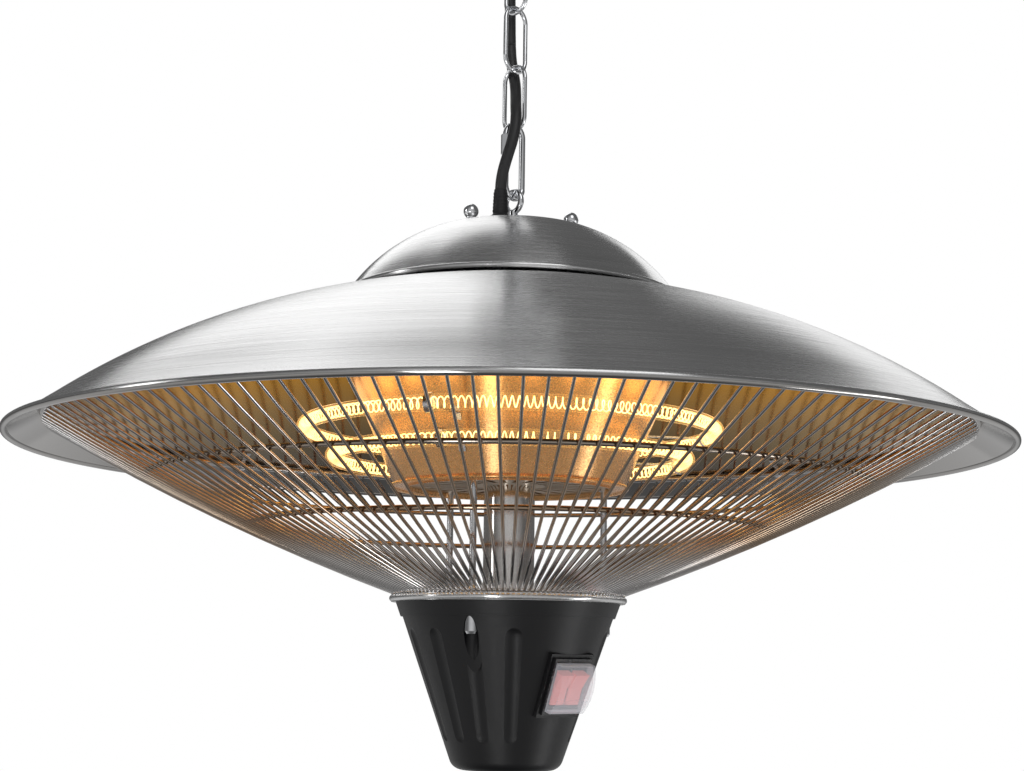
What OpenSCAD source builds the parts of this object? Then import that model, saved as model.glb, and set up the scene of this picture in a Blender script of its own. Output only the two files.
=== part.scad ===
// Hanging electric patio heater: a domed steel hat over two ring shaped quartz
// elements, a wire grille, a switch housing below and a chain above.
// Millimetres, +Z up, the origin at the middle of the ceiling plate's top face.

/* [Hat] */
// Diameter of the hat over its rim
hat_d = 600; // [590:5:640]
// Height of the hat's skin above the rim, where the cap's edge stands over it
hat_h = 91.6; // [86:0.2:98]
// Radius of the hat's curve in section
hat_curve_r = 425; // [400:5:500]
// Width of the brim outside the crease
brim_w = 24.3; // [20:0.1:28]
// Height of the crease above the rim
crease_h = 17.2; // [16:0.1:20]
// Thickness of the hat's sheet
hat_t = 1.2; // [0.8:0.1:1.6]
// Radius of the rolled bead along the rim
rim_bead_r = 2.2; // [1.8:0.1:2.6]
// Radius of the flat plate in the middle of the hat
hat_flat_r = 60; // [56:1:66]

/* [Cap] */
// Diameter of the cap over its bead
cap_d = 209; // [200:1:214]
// Height of the cap above the hat's skin at its edge
cap_h = 53.6; // [50:0.2:58]
// Thickness of the cap's sheet
cap_t = 1.2; // [0.8:0.1:1.6]
// Radius of the rolled bead on the cap's edge
cap_bead_r = 1.7; // [1.4:0.1:2]
// Height of the vent slot between the cap and the hat
vent_gap = 2.4; // [2:0.1:3.4]
// Radius of the circle that the cap's studs stand on
stud_circle_r = 37; // [34:1:42]
// Diameter of the ball nuts
ball_nut_d = 9.2; // [8:0.2:11]

/* [Reflector] */
// Radius of the reflector's lower edge
reflector_r = 70; // [66:1:74]
// Depth of the reflector's lower edge under the rim
reflector_drop = 19; // [14:1:24]
// Radius of the reflector where it meets the hat
reflector_top_r = 140; // [130:2:150]
// Thickness of the reflector's sheet
reflector_t = 0.8; // [0.6:0.1:1.2]
// Radius of the hole in the reflector's bottom ring
reflector_hole_r = 62.5; // [62.2:0.1:63.5]
// Count of slots in the vent plate
vent_slots = 24; // [12:2:36]

/* [Elements] */
// Diameter of the quartz tubes
tube_d = 9.5; // [8:0.5:11]
// Wall of the quartz tubes
tube_wall = 1.1; // [0.8:0.1:1.4]
// Radius of the upper ring, to the middle of its tube
upper_ring_r = 125.5; // [120:0.5:130]
// Height of the upper ring above the rim
upper_ring_z = 14.5; // [10:0.5:20]
// Radius of the lower ring, to the middle of its tube
lower_ring_r = 107.8; // [104:0.2:110]
// Depth of the lower ring under the rim
lower_ring_drop = 2.6; // [0:0.2:4]
// Diameter of the heating coils inside the tubes
coil_d = 7.1; // [6.1:0.1:7.1]
// Thickness of the coils' wire
coil_wire = 0.8; // [0.6:0.1:1]
// Count of the coils' turns on each ring
coil_turns = 44; // [24:1:44]

/* [Grille] */
// Count of the grille's radial wires
wire_count = 144; // [96:12:144]
// Diameter of the radial wires
wire_d = 1.8; // [1.4:0.1:2.2]
// Radius of the grille's outer ring
grille_r = 276; // [276:0.5:279]
// Diameter of the outer ring's wire
outer_wire_d = 4.4; // [3.6:0.2:5]
// Diameter of the two cross rings' wire
cross_wire_d = 3; // [2.4:0.2:3.6]
// Outward bow of the radial wires
wire_bow = 4.6; // [2:0.2:7]
// Radius of the upper cross ring
cross_a_r = 219; // [210:1:230]
// Radius of the lower cross ring
cross_b_r = 161; // [150:1:170]

/* [Column] */
// Diameter of the centre tube
column_d = 31; // [28:0.5:34]
// Wall of the centre tube
column_wall = 1.5; // [1:0.1:2]
// Diameter of the three support rods
rod_d = 4; // [3.5:0.5:5]
// Radius of the circle that the rods stand on
rod_circle_r = 58.8; // [58:0.1:59]

/* [Housing] */
// Depth of the housing's top under the rim
housing_drop = 90; // [86:1:96]
// Height of the housing
housing_h = 98; // [94:1:104]
// Radius of the housing at its top
housing_top_r = 67.7; // [67:0.1:69]
// Radius of the housing at its bottom, before the corner's round
housing_bottom_r = 33; // [31:1:36]
// Height of the band around the housing's top
band_h = 8.5; // [8:0.5:11]
// Wall of the housing
housing_wall = 2.4; // [2:0.1:3]
// Count of flutes around the housing
flute_count = 15; // [15:15:30]

/* [Switch] */
// Direction that the switch faces, from +X
switch_angle = -47; // [-54:1:-40]
// Depth of the switch's middle under the housing's top
switch_drop = 47.8; // [46:0.2:52]
// Width of one rocker
rocker_w = 10.4; // [9:0.2:11]
// Height of the rockers
rocker_h = 22; // [20:0.5:24]
// Travel of a rocker from off to on, in degrees
rocker_throw = 18; // [12:1:20]
// Depth of the clear cover over the rockers
cover_depth = 8; // [8:0.5:12]
// Wall of the clear cover
cover_wall = 0.9; // [0.7:0.1:1.2]

/* [Hanging] */
// Length of a chain link over its ends
link_l = 45; // [42:0.5:48]
// Width of a chain link over its sides
link_w = 20.5; // [20:0.5:23]
// Diameter of the chain's wire
link_wire_d = 2.8; // [2.4:0.1:3]
// Count of plain chain links
link_count = 3; // [3:1:3]
// Length of the screw link over its ends
screw_link_l = 51; // [49:0.5:53]
// Width of the screw link over its sides
screw_link_w = 18.5; // [18:0.5:21]
// Diameter of the screw link's wire
screw_link_wire_d = 4; // [3.6:0.1:4.2]
// Outside diameter of the eye on the cap
eye_d = 17; // [16:0.5:18]
// Diameter of the eye's wire
eye_wire_d = 3.8; // [3.4:0.1:4]
// Length of the neck between the eye and the cap
eye_neck = 5.9; // [4:0.1:8]
// Diameter of the ceiling plate
plate_d = 80; // [70:2:100]
// Thickness of the ceiling plate
plate_t = 4; // [3:0.5:6]
// Diameter of the screw holes in the ceiling plate
plate_hole_d = 5.5; // [4.5:0.5:6.5]
// Radius of the circle of the plate's screw holes
plate_hole_r = 31; // [28:1:32]
// Diameter of the ceiling hook's wire
hook_wire_d = 5; // [4.5:0.5:5.5]
// Diameter of the mains cord
cord_d = 7.1; // [6.5:0.1:7.3]

/* [Hidden] */
$fn = 64;

// Running clearance between pieces of one body, and between bodies
fit = 0.1;
gap = 0.2;

// Heights of the chain, worked out from the ceiling downwards
hook_r = 8.5;
hook_shank = 3;
hook_z = -plate_t - hook_shank - hook_wire_d / 2 - hook_r;
hook_seat_z = hook_z - hook_r + hook_wire_d / 2;
link_pitch = link_l - 2 * link_wire_d - gap;
link_top_z = hook_seat_z + gap + link_wire_d;
function link_bottom_z(i) = link_top_z - link_l - i * link_pitch;
screw_link_top_z = link_bottom_z(link_count - 1) + link_wire_d + gap + screw_link_wire_d;
screw_link_bottom_z = screw_link_top_z - screw_link_l;
screw_link_seat_z = screw_link_bottom_z + screw_link_wire_d;
eye_top_z = screw_link_seat_z + gap + eye_wire_d;
eye_z = eye_top_z - eye_d / 2;
cap_top_z = eye_z - eye_d / 2 - eye_neck;
rim_z = cap_top_z - cap_h - hat_h;

// Everything on the heater is measured from the hat's rim
module hung() translate([0, 0, rim_z]) children();

hat_r = hat_d / 2;
cap_r = cap_d / 2;
rod_angles = [-110.5, 9.5, 129.5];
stud_angles = [-134, -14, 106];
back_angle = 90;

// The cord's route, from the strain relief up to the ceiling, chosen by hand
CORD = [[-8, -10, -184], [-7.6, -10.7, -178], [-6.3, -11.8, -171], [-3.8, -12.7, -162],
    [-1.2, -12.8, -153], [0.5, -12, -144], [1, -9.7, -136], [0.8, -6.3, -129], [0.7, -1.9, -122],
    [0.5, 2.7, -115], [-0.1, 6.9, -108], [-1.4, 10.1, -100], [-2.6, 11.8, -91], [-3.2, 12.5, -82],
    [-3.4, 12.7, -74], [-3.6, 12.9, -62], [-3.9, 13.3, -48], [-4.5, 14.6, -34], [-4.9, 15.8, -22],
    [-5, 16, -10], [-5, 16, -1]];
cord_mid = 13;
cord_sides = 8;

// Arcs and offset paths for the sheet metal profiles
function arc_centre(p, q, r) =
    let (d = q - p, l = norm(d)) (p + q) / 2 + [d[1], -d[0]] / l * sqrt(r * r - l * l / 4);
function arc_path(p, q, r, n) =
    let (c = arc_centre(p, q, r),
        a = atan2(p[1] - c[1], p[0] - c[0]),
        b = atan2(q[1] - c[1], q[0] - c[0]))
    [for (i = [0:n]) c + r * [cos(a + (b - a) * i / n), sin(a + (b - a) * i / n)]];
function side(a, b) = [b[1] - a[1], a[0] - b[0]] / norm(b - a);
function mitre(p, i) =
    let (m = i > 0 ? side(p[i - 1], p[i]) : side(p[0], p[1]),
        n = i < len(p) - 1 ? side(p[i], p[i + 1]) : m)
    (m + n) / (1 + m * n);
function backwards(p) = [for (i = [len(p) - 1:-1:0]) p[i]];
function beside(p, t) = [for (i = [0:len(p) - 1]) p[i] + t * mitre(p, i)];
module sheet(path, t) polygon(concat(path, backwards(beside(path, t))));
module spun_sheet(path, t) rotate_extrude($fn = 180) sheet(path, t);

module at_each(angles) for (a = angles) rotate([0, 0, a]) children();

// The hat's outer skin is a shallow sphere, flat in the middle, with a flatter brim
crease = [hat_r - brim_w, crease_h];
hat_centre = let (s = cap_r, h = hat_h)
    arc_centre([s, h], crease, hat_curve_r);
function hat_skin(r) = hat_centre[1]
    + sqrt(hat_curve_r * hat_curve_r - (r - hat_centre[0]) * (r - hat_centre[0]));
hat_flat_z = hat_skin(hat_flat_r);
brim_edge = [hat_r - 5.6, crease_h - 13];
rim_end = [hat_r - rim_bead_r, rim_bead_r];
function brim_skin(r) = crease[1]
    - (r - crease[0]) * (crease[1] - brim_edge[1]) / (brim_edge[0] - crease[0]);

module rolled_bead(place, r) rotate_extrude($fn = 180) translate(place) circle(r = r, $fn = 32);
module hat_shell() union() {
    spun_sheet(concat([[eye_bolt_d / 2 + fit, hat_flat_z]],
        arc_path([hat_flat_r, hat_flat_z], crease, hat_curve_r, 14), [brim_edge, rim_end]), hat_t);
    rolled_bead(rim_end, rim_bead_r);
}

module hat() color("silver") hung() difference() {
    hat_shell();
    at_each(stud_angles) translate([stud_circle_r, 0, hat_flat_z - 5])
        cylinder(h = 10, d = stud_d + 2 * fit);
    rotate([0, 0, cable_angle]) translate([cable_r, 0, hat_flat_z - 5])
        cylinder(h = 10, d = cable_d + 2 * fit);
}

// Cap: two tangent arcs in section, with a rolled bead that stands over the hat
stud_d = 4;
eye_bolt_d = 6;
cap_crown_r = 178;
cap_side_r = 104;
cap_shoulder_r = 51;
cap_shoulder = [cap_shoulder_r, cap_h - cap_crown_r + sqrt(cap_crown_r * cap_crown_r - cap_shoulder_r * cap_shoulder_r)];
cap_edge = [cap_r - cap_bead_r, vent_gap + cap_bead_r];
module cap_shell() translate([0, 0, hat_h]) union() {
    spun_sheet(concat(arc_path([eye_bolt_d / 2 + fit, cap_h], cap_shoulder, cap_crown_r, 6),
        arc_path(cap_shoulder, cap_edge, cap_side_r, 9)), cap_t);
    rolled_bead(cap_edge, cap_bead_r);
}
function cap_skin(r) = hat_h + cap_h - cap_crown_r + sqrt(cap_crown_r * cap_crown_r - r * r);
relief_at = [-8, -10];
module cap() color("silver") hung() difference() {
    cap_shell();
    at_each(stud_angles) translate([stud_circle_r, 0, hat_h + cap_h - 12])
        cylinder(h = 14, d = stud_d + 2 * fit);
    translate([relief_at[0], relief_at[1], hat_h + cap_h - 12])
        cylinder(h = 14, d = relief_shank_d + 2 * fit);
}

module cap_studs() color("gainsboro") hung() at_each(stud_angles)
    translate([stud_circle_r, 0, hat_flat_z - hat_t - 5])
        cylinder(h = cap_skin(stud_circle_r) - hat_flat_z + hat_t + 7.5, d = stud_d);

// Spacers carry the cap on the hat, with a nut below the hat on each stud
module cap_spacers() color("gainsboro") hung() at_each(stud_angles)
    translate([stud_circle_r, 0, 0]) difference() {
        union() {
            translate([0, 0, hat_flat_z + fit])
                cylinder(h = cap_skin(stud_circle_r + 4) - 2 * fit - cap_t * 1.1 - hat_flat_z, d = 8);
            translate([0, 0, hat_flat_z - hat_t - fit - 3.2]) cylinder(h = 3.2, d = 8, $fn = 6);
        }
        translate([0, 0, hat_flat_z - 20]) cylinder(h = 80, d = stud_d + 2 * fit);
    }

module ball_nuts() color("whitesmoke") hung() at_each(stud_angles)
    translate([stud_circle_r, 0, cap_skin(stud_circle_r - ball_nut_d * 0.3) + fit]) difference() {
        union() {
            cylinder(h = 2, d = ball_nut_d * 0.62);
            translate([0, 0, ball_nut_d * 0.46]) sphere(d = ball_nut_d, $fn = 48);
        }
        translate([0, 0, -5]) cylinder(h = 8.2, d = stud_d + 2 * fit);
        translate([0, 0, -5]) cylinder(h = 5, d = ball_nut_d);
    }

// Eye bolt: a ring on a shank that clamps the cap, the hat and the column's plug
module eye_bolt() color("silver") hung() {
    z = eye_z - rim_z;
    r = (eye_d - eye_wire_d) / 2;
    union() {
        translate([0, 0, z]) rotate([90, 0, -45])
            rotate_extrude($fn = 96) translate([r, 0]) circle(d = eye_wire_d, $fn = 32);
        translate([0, 0, hat_h + cap_h + fit]) cylinder(h = 2, d1 = 10, d2 = 8);
        translate([0, 0, plug_bottom_z + 1]) cylinder(h = hat_h + cap_h + eye_neck + eye_wire_d / 2 - plug_bottom_z - 1, d = eye_bolt_d);
    }
}
plug_h = 14;
plug_bottom_z = hat_flat_z - hat_t - fit - plug_h;
module eye_bolt_nuts() color("gainsboro") hung() {
    under_cap = hat_h + cap_h - cap_t - 2 * fit - 5;
    for (z = [under_cap, hat_flat_z + fit]) translate([0, 0, z]) difference() {
        cylinder(h = 5, d = 11.5, $fn = 6);
        translate([0, 0, -1]) cylinder(h = 7, d = eye_bolt_d + 2 * fit);
    }
}

// Strain relief: a tapered boot on a flange, with its nut inside the cap
relief_shank_d = 11;
relief_foot_d = 9.4;
relief_tip_d = 8;
relief_z = cap_skin(norm(relief_at) - 7) + fit;
relief_h = CORD[0][2] - rim_z - relief_z;
module strain_relief() color("black") hung() translate([relief_at[0], relief_at[1], relief_z]) difference() {
    union() {
        cylinder(h = 1.8, d = 15);
        translate([0, 0, 1.8]) cylinder(h = 2, d1 = 13, d2 = 9.4);
        translate([0, 0, 3.8]) cylinder(h = relief_h - 3.8, d1 = relief_foot_d, d2 = relief_tip_d);
        translate([0, 0, -9]) cylinder(h = 9, d = relief_shank_d);
        for (z = [5.2:2.2:relief_h - 3]) translate([0, 0, z])
            cylinder(h = 1.1, d = relief_foot_d - (relief_foot_d - relief_tip_d) * (z - 3.8) / (relief_h - 3.8) + 0.5);
    }
    translate([0, 0, -10]) cylinder(h = relief_h + 2 + 10, d = cord_d - 0.8);
}
module strain_relief_nut() color("black") hung() translate([relief_at[0], relief_at[1], relief_z - 8.2])
    difference() {
        cylinder(h = 3.6, d = 14.4, $fn = 6);
        translate([0, 0, -1]) cylinder(h = 6, d = relief_shank_d + 2 * fit);
    }

// Ceiling plate, hook and grommet
grommet_at = [-5, 16];
hook_thread = plate_t - 1.2;
module ceiling_plate() color("silver") difference() {
    translate([0, 0, -plate_t]) cylinder(h = plate_t, d = plate_d, $fn = 128);
    translate([0, 0, -plate_t - 1]) cylinder(h = hook_thread + 1, d = hook_wire_d + 2 * fit);
    translate([grommet_at[0], grommet_at[1], -plate_t - 1]) cylinder(h = plate_t + 2, d = cord_d + 3.4);
    at_each([30, 150, 270]) translate([plate_hole_r, 0, 0]) {
        translate([0, 0, -plate_t - 1]) cylinder(h = plate_t + 2, d = plate_hole_d);
        translate([0, 0, -plate_t - fit]) cylinder(h = 2, d1 = plate_hole_d + 4, d2 = plate_hole_d);
    }
}

module ceiling_hook() color("silver") {
    translate([0, 0, hook_z]) rotate([90, 0, 45]) rotate([0, 0, -235])
        rotate_extrude(angle = 325, $fn = 96) translate([hook_r, 0]) circle(d = hook_wire_d, $fn = 32);
    translate([0, 0, hook_z + hook_r])
        cylinder(h = hook_thread - fit - plate_t - hook_z - hook_r, d = hook_wire_d);
}
module hook_nut() color("gainsboro") translate([0, 0, -plate_t - fit - 2.6]) difference() {
    cylinder(h = 2.6, d = 10, $fn = 6);
    translate([0, 0, -1]) cylinder(h = 5, d = hook_wire_d + 2 * fit);
}
module cord_grommet() color("black") translate([grommet_at[0], grommet_at[1], 0]) difference() {
    union() {
        translate([0, 0, -plate_t - fit - 1.8]) cylinder(h = 1.8, d = cord_d + 6.4);
        translate([0, 0, -plate_t - fit - 0.2]) cylinder(h = plate_t, d = cord_d + 3.2);
    }
    translate([0, 0, -plate_t - 5]) cylinder(h = plate_t + 6, d = cord_d + 0.4);
}

// An oval link: two half rings joined by legs that bow out
module oval_link(l, w, d, turn) rotate([0, 0, turn]) rotate([90, 0, 0]) {
    end_r = (w - d) / 2;
    leg = l - d - 2 * end_r;
    for (s = [0, 180]) rotate([0, 0, s]) translate([0, leg / 2, 0])
        rotate_extrude(angle = 180, $fn = 96) translate([end_r, 0]) circle(d = d, $fn = 32);
    for (s = [-1, 1]) translate([s * end_r, -leg / 2, 0]) rotate([-90, 0, 0]) cylinder(h = leg, d = d);
}
module chain_link(i) color("gainsboro")
    translate([0, 0, link_bottom_z(i) + link_l / 2])
        oval_link(link_l, link_w, link_wire_d, i % 2 == 0 ? -45 : 45);
module chain_link_1() chain_link(0);
module chain_link_2() chain_link(1);
module chain_link_3() chain_link(2);

// Screw link: an oval with a gap in one leg, closed by a threaded sleeve
screw_link_gap = 7;
module screw_link() color("gainsboro") translate([0, 0, screw_link_top_z - screw_link_l / 2])
    rotate([0, 0, 45]) difference() {
        oval_link(screw_link_l, screw_link_w, screw_link_wire_d, 0);
        translate([-screw_link_w / 2 - 2, -5, 6]) cube([screw_link_wire_d + 4, 10, screw_link_gap]);
    }
module screw_link_nut() color("gainsboro") translate([0, 0, screw_link_top_z - screw_link_l / 2])
    rotate([0, 0, 45]) translate([-(screw_link_w - screw_link_wire_d) / 2, 0, 3.5]) difference() {
        cylinder(h = 12.5, d = screw_link_wire_d + 2.6, $fn = 6);
        translate([0, 0, -1]) cylinder(h = 15, d = screw_link_wire_d + 2 * fit);
    }

// Tubes swept along a path of points
function unit(v) = v / norm(v);
function tangent(p, i) = unit(p[min(i + 1, len(p) - 1)] - p[max(i - 1, 0)]);
function tube_ring(p, i, r, n) =
    let (t = i == 0 || i == len(p) - 1 ? [0, 0, 1] : tangent(p, i),
        u = unit(cross([0, 1, 0], t)), v = cross(t, u))
    [for (k = [0:n - 1]) p[i] + r * (cos(360 * k / n) * u + sin(360 * k / n) * v)];
module skin_over(rows, n) {
    count = len(rows);
    walls = [for (i = [0:count - 2], k = [0:n - 1])
        let (a = i * n + k, b = i * n + (k + 1) % n) each [[a, b + n, b], [a, a + n, b + n]]];
    last = (count - 1) * n;
    ends = [for (k = [1:n - 2]) each [[0, k, k + 1], [last, last + k + 1, last + k]]];
    polyhedron([for (row = rows) each row], concat(walls, ends));
}
module cord_stretch(p) color("black")
    skin_over([for (i = [0:len(p) - 1]) tube_ring(p, i, cord_d / 2, cord_sides)], cord_sides);
module cord_lower() cord_stretch([for (i = [0:cord_mid]) CORD[i]]);
module cord_upper() cord_stretch([for (i = [cord_mid:len(CORD) - 1]) CORD[i]]);
module cord_tail() color("black") hung() translate([relief_at[0], relief_at[1], relief_z - 16])
    cylinder(h = relief_h + 16 - fit, d = cord_d - 0.8 - 2 * fit);

// Reflector: a flared cone around the column, between the bottom ring and the hat
reflector_z = -reflector_drop;
cone_rise = 70;
cone_run = 30;
module reflector() color("goldenrod") hung() difference() {
    spun_sheet(concat([[reflector_r, reflector_z + 0.4 * reflector_t]],
        arc_path([reflector_r + cone_run, reflector_z + cone_rise],
            [reflector_top_r, hat_skin(reflector_top_r) - hat_t - 2 * fit], 62, 8)), reflector_t);
    for (r = [lower_ring_r, upper_ring_r], s = [-1, 1]) at_leg(r, s)
        translate([0, 0, 30]) cylinder(h = 90, d = end_cap_d + 2);
}

ring_t = 1;
ring_top_z = reflector_z - fit;
ring_bead_r = 1.2;
module reflector_ring() color("goldenrod") hung() {
    rotate_extrude($fn = 180) union() {
        translate([reflector_hole_r, ring_top_z - ring_t]) square([reflector_r + 1.5 - reflector_hole_r, ring_t]);
        translate([reflector_hole_r, ring_top_z - 2.6]) square([ring_t, 2.6]);
        translate([reflector_r + 1.5, ring_top_z - ring_bead_r]) circle(r = ring_bead_r, $fn = 24);
    }
}

vent_plate_t = 1;
module vent_plate() color("dimgray") hung() difference() {
    translate([0, 0, ring_top_z + fit]) cylinder(h = vent_plate_t, r = reflector_r - 3, $fn = 180);
    translate([0, 0, ring_top_z - 3]) cylinder(h = 8, d = column_d + 2 * gap);
    for (i = [0:vent_slots - 1]) rotate([0, 0, (i + 0.5) * 360 / vent_slots])
        translate([column_d / 2 + 6, -1.6, ring_top_z - 3])
            cube([rod_circle_r - column_d / 2 - 10.5, 3.2, 8]);
    at_each(rod_angles) translate([rod_circle_r, 0, ring_top_z - 6]) cylinder(h = 12, d = rod_d + 2 * fit);
}

// Quartz rings, open at the back, whose ends turn up to ceramic caps under the hat
tube_end_angle = 9;
elbow_r = 9;
lead_d = 3;
lead_l = 16;
end_cap_h = 16;
end_cap_d = 14;
function end_cap_top(r) = hat_skin(r + end_cap_d / 2) - 1.1 * hat_t - fit;
function leg_top(r) = end_cap_top(r) - end_cap_h + 6;
module at_leg(r, s) rotate([0, 0, back_angle + s * tube_end_angle]) translate([r, -s * elbow_r, 0]) children();
module half_bent_ring(r, d, h) {
    a = back_angle + tube_end_angle;
    rotate([0, 0, a]) rotate_extrude(angle = 180 - tube_end_angle, $fn = 180)
        translate([r, 0]) circle(d = d, $fn = 32);
    rotate([0, 0, a]) translate([r, 0, elbow_r]) rotate([90, 0, 90]) rotate([0, 0, 180])
        rotate_extrude(angle = 90, $fn = 96) translate([elbow_r, 0]) circle(d = d, $fn = 32);
    at_leg(r, 1) translate([0, 0, elbow_r]) cylinder(h = h - elbow_r, d = d);
}
module bent_ring(r, z, d, top) translate([0, 0, z]) union() {
    half_bent_ring(r, d, top - z);
    mirror([1, 0, 0]) half_bent_ring(r, d, top - z);
    rotate([0, 0, back_angle + 178]) rotate_extrude(angle = 4, $fn = 180) translate([r, 0]) circle(d = d, $fn = 32);
}
module quartz_tube(r, z) color("orange") hung() difference() {
    bent_ring(r, z, tube_d, leg_top(r));
    bent_ring(r, z, tube_d - 2 * tube_wall, leg_top(r) + 1);
}
module upper_tube() quartz_tube(upper_ring_r, upper_ring_z);
module lower_tube() quartz_tube(lower_ring_r, -lower_ring_drop);

// Ceramic caps take the tubes' ends, with a lead pin in each
module at_every_leg() for (r = [upper_ring_r, lower_ring_r], s = [-1, 1]) at_leg(r, s)
    translate([0, 0, end_cap_top(r) - end_cap_h]) children();
module end_caps() color("ivory") hung() at_every_leg() difference() {
    cylinder(h = end_cap_h, d = end_cap_d);
    translate([0, 0, -1]) cylinder(h = 7 + fit, d = tube_d + 2 * fit);
    cylinder(h = end_cap_h + 1, d = lead_d + 2 * fit);
}
module lead_pins() color("gainsboro") hung() at_every_leg()
    translate([0, 0, end_cap_h - 1 - lead_l]) cylinder(h = lead_l, d = lead_d);

// Heating coils: a helix wound round the ring inside each quartz tube, with straight leads
coil_points_a_turn = 8;
coil_sides = 6;
function coil_point(r, i) =
    let (u = i / (coil_turns * coil_points_a_turn),
        a = back_angle + tube_end_angle + u * (360 - 2 * tube_end_angle),
        w = i * 360 / coil_points_a_turn, c = (coil_d - coil_wire) / 2)
    [(r + c * cos(w)) * cos(a), (r + c * cos(w)) * sin(a), c * sin(w)];
function lead_point(r, s, y, z) = let (a = back_angle + s * tube_end_angle)
    [r * cos(a) + s * y * sin(a), r * sin(a) - s * y * cos(a), z];
function lead_path(r, s, top) = [lead_point(r, s, elbow_r, top), lead_point(r, s, elbow_r, elbow_r + 3),
    lead_point(r, s, 0.87 * elbow_r, elbow_r / 2), lead_point(r, s, 4, 1)];
function coil_path(r, top) = concat(lead_path(r, 1, top),
    [for (i = [0:coil_turns * coil_points_a_turn]) coil_point(r, i)], backwards(lead_path(r, -1, top)));
function coil_ring(p, i) =
    let (t = tangent(p, i), u = unit(cross(unit([p[i][0], p[i][1], 0]), t)), v = cross(t, u))
    [for (k = [0:coil_sides - 1])
        p[i] + coil_wire / 2 * (cos(360 * k / coil_sides) * u + sin(360 * k / coil_sides) * v)];
function coil_gap(p) = min([for (i = [0:len(p) - 1], j = [i + 5:1:min(i + 3 * coil_points_a_turn, len(p) - 1)])
    norm(p[j] - p[i])]) - coil_wire;
module heating_coil(r, z) color("gold") hung() translate([0, 0, z]) {
    p = coil_path(r, end_cap_top(r) - 1 - lead_l - z - fit);
    skin_over([for (i = [0:len(p) - 1]) coil_ring(p, i)], coil_sides);
    echo(least_gap_between_turns = coil_gap(p));
}
module upper_coil() heating_coil(upper_ring_r, upper_ring_z);
module lower_coil() heating_coil(lower_ring_r, -lower_ring_drop);

// Spring clips hold each quartz ring off the reflector
clip_w = 4;
clip_t = 0.8;
function reflector_skin(z) = reflector_r + (z - reflector_z) * cone_run / cone_rise
    + (reflector_t + fit) * 1.1;
module tube_clip(r, z) translate([0, 0, z]) {
    start = reflector_skin(z);
    difference() {
        union() {
            translate([r, clip_w / 2, 0]) rotate([90, 0, 0])
                cylinder(h = clip_w, d = tube_d + 2 * gap + 2 * clip_t);
            translate([start + 0.3, -clip_w / 2, -clip_t / 2]) cube([r - start - 0.3, clip_w, clip_t]);
            translate([start, 0, 0]) rotate([0, atan(cone_run / cone_rise), 0])
                translate([0, -clip_w / 2, -4]) cube([clip_t, clip_w, 8]);
        }
        translate([r, clip_w, 0]) rotate([90, 0, 0]) cylinder(h = 2 * clip_w, d = tube_d + 2 * fit);
    }
}
module tube_clips() color("silver") hung() at_each(rod_angles) {
    tube_clip(upper_ring_r, upper_ring_z);
    tube_clip(lower_ring_r, -lower_ring_drop);
}

// Grille: bowed radial wires below an outer ring, on a collar at the column
collar_r = reflector_r + 1.6;
collar_h = 4.2;
collar_top_z = -housing_drop + collar_h;
brim_slope = atan((crease[1] - brim_edge[1]) / (brim_edge[0] - crease[0]));
outer_wire_z = brim_skin(grille_r) - (hat_t + outer_wire_d / 2 + fit) / cos(brim_slope);
wire_start = [grille_r + 1, outer_wire_z - outer_wire_d / 2 - wire_d / 2 - fit];
wire_end = [collar_r - 2.5, collar_top_z + wire_d / 2 + fit];
wire_chord = norm(wire_start - wire_end);
wire_r = wire_chord * wire_chord / (8 * wire_bow) + wire_bow / 2;
wire_centre = let (d = wire_end - wire_start) (wire_start + wire_end) / 2
    + [d[1], -d[0]] / wire_chord * (wire_r - wire_bow);
wire_start_angle = atan2(wire_start[1] - wire_centre[1], wire_start[0] - wire_centre[0]);
wire_end_angle = atan2(wire_end[1] - wire_centre[1], wire_end[0] - wire_centre[0]);
function on_wire(r) = wire_centre[1] - sqrt(wire_r * wire_r - (r - wire_centre[0]) * (r - wire_centre[0]));
function cross_z(r, d) = let (out = unit([r, on_wire(r)] - wire_centre))
    [r, on_wire(r)] - out * ((wire_d + d) / 2 + fit);
module grille_wires() color("silver") hung()
    for (i = [0:wire_count - 1]) rotate([0, 0, (i + 0.5) * 360 / wire_count])
        translate([wire_centre[0], 0, wire_centre[1]]) rotate([90, 0, 0]) rotate([0, 0, wire_end_angle])
            rotate_extrude(angle = wire_start_angle - wire_end_angle, $fn = 96)
                translate([wire_r, 0]) circle(d = wire_d, $fn = 16);
module wire_ring(place, d) rotate_extrude($fn = 180) translate(place) circle(d = d, $fn = 32);
module grille_cross_rings() color("silver") hung() {
    wire_ring(cross_z(cross_a_r, cross_wire_d), cross_wire_d);
    wire_ring(cross_z(cross_b_r, cross_wire_d), cross_wire_d);
}
module grille_outer_ring() color("silver") hung() wire_ring([grille_r, outer_wire_z], outer_wire_d);

// Clips welded under the brim hook round the outer ring, between two wires
grille_clip_angles = [45, 135, 225, 315];
hook_w = 3.5;
hook_t = 1;
module grille_clips() color("silver") hung() at_each(grille_clip_angles) translate([grille_r, 0, outer_wire_z])
    rotate([0, brim_slope, 0]) {
        hook_r = outer_wire_d / 2 + fit;
        top = outer_wire_d / 2;
        difference() {
            translate([0, hook_w / 2, 0]) rotate([90, 0, 0]) cylinder(h = hook_w, r = hook_r + hook_t);
            translate([0, hook_w, 0]) rotate([90, 0, 0]) cylinder(h = 2 * hook_w, r = hook_r);
            translate([-10, -5, 0]) cube([20, 10, 10]);
        }
        translate([-hook_r - hook_t, -hook_w / 2, 0]) cube([hook_t, hook_w, top]);
        translate([-hook_r - 10, -hook_w / 2, top - hook_t]) cube([10, hook_w, hook_t]);
    }

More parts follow.
